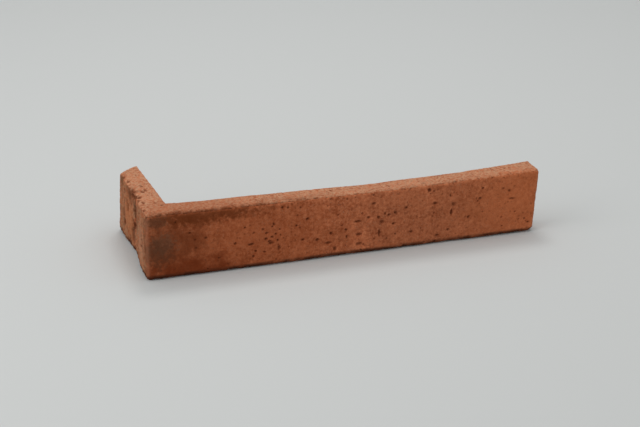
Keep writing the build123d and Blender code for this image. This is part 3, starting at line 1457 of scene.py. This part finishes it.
    def _dusted(self, w: Wiring, colour: Socket, place: Socket, flecks: Socket) -> Socket:
        """Lays sand dust on the bed and the header, and painted shade of the upright folds down the
        header.

        Args:
            w: The material's wiring.
            colour: The clay's colour.
            place: The coordinates.
            flecks: The fine flecks, which the dust follows.

        Returns:
            The colour with the dust and the painted fold shade.
        """
        uneven = w.math("MULTIPLY_ADD", flecks, self.dust_gain, self.dust_least)
        colour = w.blend(w.times(attribute(w, Zone.UPPER_BED), uneven), colour, self.dust)
        colour = w.blend(w.times(attribute(w, Zone.HEADER), uneven), colour, self.header_dust)
        # Painted shade: dark marks stretched down the header, for the shade of its folds.
        stretched = w.vector("MULTIPLY", place, self.streak_stretch)
        fold_shade_mask = w.times(attribute(w, Zone.HEADER), w.patches(stretched, self.streaks))
        return w.blend(fold_shade_mask, colour, self.streak)

    def _stained(
        self, w: Wiring, colour: Socket, place: Socket, mark: RaggedPatch, corner: Vector
    ) -> Socket:
        """Lays the kiln's marks over the clay, and painted shade in the header's hollows and under
        the upper arris.

        Args:
            w: The material's wiring.
            colour: The clay's colour.
            place: The coordinates.
            mark: The shared group that draws one of these marks.
            corner: The outer foot corner.

        Returns:
            The colour with all these marks.
        """
        for each_mark in self.stains:
            drawn = mark.place(
                w,
                place=place,
                centre=tuple(corner + Vector(each_mark.centre) * MM),
                reach=tuple(value * MM for value in each_mark.reach),
                rag_size=each_mark.rag * MM,
                ragged=each_mark.ragged,
            )
            amount = w.times(drawn.outputs["Mask"], each_mark.strength)
            colour = w.blend(amount, colour, each_mark.colour)
        return colour

    def _worn(self, w: Wiring, colour: Socket, place: Socket) -> Socket:
        """Rubs the arrises pale, and paints shade into the hollows, into the deeper relief and
        along the foot.

        Args:
            w: The material's wiring.
            colour: The colour so far.
            place: The coordinates.

        Returns:
            The colour of the finish.
        """
        rubbed = w.times(attribute(w, Zone.ARRIS), self.rubbed_share)
        colour = w.blend(rubbed, colour, self.rubbed)
        # Painted shade: the hollows and the deeper-worn relief take a dark colour.
        sunk = w.ramp(attribute(w, Zone.DEPTH), self.sunk)
        hollow = w.most(w.times(attribute(w, Zone.HOLLOW), self.hollow_share), sunk)
        colour = w.blend(hollow, colour, self.pore)
        # Painted shade: the contact shadow along the foot, darkest at the floor.
        low = w.ramp(w.parts(place)[2], self.smoke_height)
        return w.blend(w.times(low, w.patches(place, self.smoke)), colour, self.foot)


@dataclass(frozen=True)
class SawnClay:
    """Finish of the two backs, where the saw went through the body of the brick."""

    body: Colour = (0.45, 0.165, 0.080)
    dark: Colour = (0.33, 0.105, 0.048)
    smear: Colour = (0.52, 0.25, 0.15)
    grit: Colour = (0.60, 0.40, 0.28)
    patch_size: float = 11 * MM
    fleck_size: float = 1.8 * MM
    grit_size: float = 1.6 * MM
    grit_share: float = 0.12
    grit_tone: float = 0.5
    grit_height: float = 0.4
    smeared: Rise = Rise(0.45, 0.75, 0.0, 0.6)
    roughness: float = 0.85
    bump: float = 0.16 * MM

    def build(self, groups: Groups) -> Material:
        """Makes the material.

        Args:
            groups: The shared shader groups.

        Returns:
            The material.
        """
        material, w, shader = blank_material("sawn_clay", self.roughness)
        place = w.read("ShaderNodeTexCoord", "Object")
        sizes = {"patch_size": self.patch_size, "fleck_size": self.fleck_size}
        mottle = groups.mottling.place(w, place=place, **sizes).outputs
        sizes = {"grain_size": self.grit_size, "share": self.grit_share}
        grit = groups.grain.place(w, place=place, **sizes).outputs
        lines = groups.saw.place(w, place=place).outputs["Lines"]
        colour = w.blend(mottle["Patches"], self.dark, self.body)
        colour = w.blend(w.ramp(lines, self.smeared), colour, self.smear)
        colour = w.blend(w.times(grit["Grains"], self.grit_tone), colour, self.grit)
        w.put(shader.inputs["Base Color"], colour)
        height = w.total(lines, w.times(grit["Height"], self.grit_height))
        add_bump(w, shader, height, self.bump)
        return material


def blank_material(
    name: str, roughness: float, specular: float = 0.08
) -> tuple[Material, Wiring, Node]:
    """Makes an empty material with a Principled shader.

    Args:
        name: The material's name.
        roughness: The shader's roughness.
        specular: How much it mirrors, where 0.5 is the usual level.

    Returns:
        The material, its wiring and its shader node.
    """
    material = bpy.data.materials.new(name)
    material.use_nodes = True
    material.node_tree.nodes.clear()
    w = Wiring(material.node_tree)
    feeds = {"Roughness": roughness, "Specular IOR Level": specular}
    shader = w.node("ShaderNodeBsdfPrincipled", feeds)
    leave = w.node("ShaderNodeOutputMaterial")
    w.put(leave.inputs["Surface"], shader.outputs["BSDF"])
    return material, w, shader


def attribute(w: Wiring, zone: Zone) -> Socket:
    """Reads one of the slip's zones in a material."""
    return w.read("ShaderNodeAttribute", "Fac", attribute_name=zone.value)


def add_bump(w: Wiring, shader: Node, height: Socket, distance: float) -> None:
    """Feeds a height into the shader's normal, where a height of 1 is this distance."""
    feeds = {"Height": height, "Distance": distance, "Strength": 1.0}
    w.put(shader.inputs["Normal"], w.read("ShaderNodeBump", "Normal", feeds))


@dataclass(frozen=True)
class Softbox:
    """One square lamp that points at the slip: where it hangs, its size and its power."""

    name: str
    spot: Triple
    size: float
    watts: float


@dataclass
class Studio:
    """The pale floor, the soft lamps and the camera."""

    floor_colour: Colour = (0.59, 0.605, 0.597)
    backdrop: Colour = (0.60, 0.62, 0.608)
    floor_reach: float = 6.0
    floor_roughness: float = 0.9
    sky: Colour = (0.46, 0.46, 0.46)
    softboxes: tuple[Softbox, ...] = (
        Softbox("overhead_softbox", (0.05, -0.03, 1.25), 1.4, 3.95),
        Softbox("back_softbox", (0.12, 0.52, 1.15), 0.35, 3.2),
        Softbox("left_softbox", (-1.15, -0.25, 0.85), 1.0, 6.0),
        Softbox("front_softbox", (-0.30, -1.30, 0.60), 1.0, 1.0),
    )
    eye: Triple = (-0.38640, -1.15149, 0.54035)
    pitch_deg: float = 23.470
    yaw_deg: float = 18.297
    roll_deg: float = 0.447
    focal_px: float = 1845.1
    sensor_mm: float = 36.0
    sight: float = 30.0

    def build(self) -> None:
        """Makes the floor, the world, the lamps and the camera."""
        self._floor()
        self._world()
        for softbox in self.softboxes:
            self._hang(softbox)
        self._camera()
        bpy.context.scene.view_settings.view_transform = "Standard"

    def _floor(self) -> None:
        """Makes the floor that the slip stands on."""
        reach = self.floor_reach
        mesh = bpy.data.meshes.new("floor")
        corners = [(-reach, -reach, 0), (reach, -reach, 0), (reach, reach, 0), (-reach, reach, 0)]
        mesh.from_pydata(corners, [], [(0, 1, 2, 3)])
        floor = bpy.data.objects.new("floor", mesh)
        bpy.context.scene.collection.objects.link(floor)
        material, w, shader = blank_material("pale_floor", self.floor_roughness)
        w.put(shader.inputs["Base Color"], self.floor_colour)
        mesh.materials.append(material)

    def _world(self) -> None:
        """Lights the scene evenly, and shows the floor's own tone beyond its edge."""
        world = bpy.data.worlds.new("studio")
        world.use_nodes = True
        world.node_tree.nodes.clear()
        bpy.context.scene.world = world
        w = Wiring(world.node_tree)
        rays = w.node("ShaderNodeLightPath").outputs
        seen = w.most(rays["Is Camera Ray"], rays["Is Glossy Ray"], rays["Is Transmission Ray"])
        colour = w.blend(seen, self.sky, self.backdrop)
        feeds = {"Color": colour, "Strength": 1.0}
        leave = w.node("ShaderNodeOutputWorld")
        w.put(leave.inputs["Surface"], w.read("ShaderNodeBackground", "Background", feeds))

    def _hang(self, softbox: Softbox) -> None:
        """Hangs one softbox, turned towards the slip.

        Args:
            softbox: The softbox.
        """
        lamp = bpy.data.lights.new(softbox.name, "AREA")
        lamp.shape = "SQUARE"
        lamp.size = softbox.size
        lamp.energy = softbox.watts
        hung = bpy.data.objects.new(softbox.name, lamp)
        hung.location = softbox.spot
        hung.rotation_euler = (-Vector(softbox.spot)).to_track_quat("-Z", "Y").to_euler()
        bpy.context.scene.collection.objects.link(hung)

    def _camera(self) -> None:
        """Places the camera that was solved from the outline in the photograph."""
        lens = bpy.data.cameras.new("camera")
        lens.sensor_fit = "HORIZONTAL"
        lens.sensor_width = self.sensor_mm
        lens.lens = self.focal_px * self.sensor_mm / PHOTO_WIDTH_PX
        lens.clip_end = self.sight
        camera = bpy.data.objects.new("camera", lens)
        camera.location = self.eye
        turned = Matrix.Rotation(math.radians(-self.yaw_deg), 3, "Z")
        tipped = Matrix.Rotation(math.radians(90 - self.pitch_deg), 3, "X")
        rolled = Matrix.Rotation(math.radians(self.roll_deg), 3, "Z")
        camera.rotation_euler = (turned @ tipped @ rolled).to_euler()
        bpy.context.scene.collection.objects.link(camera)
        bpy.context.scene.camera = camera


def main() -> None:
    """Builds the finishes, the slip and the studio, and reports each piece."""
    logging.basicConfig(level=logging.INFO, format="%(name)s: %(message)s")
    groups = Groups()
    slip = Slip()
    moulded = MouldedClay().build(groups, slip.low)
    sawn = SawnClay().build(groups)
    clay = slip.build(moulded, sawn)
    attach(clay, BODY)
    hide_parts(NODE)
    log.info("%s stands for %s", clay.name, NODE)
    Studio().build()
    log.info("the studio is set up")


if __name__ == "__main__":
    main()
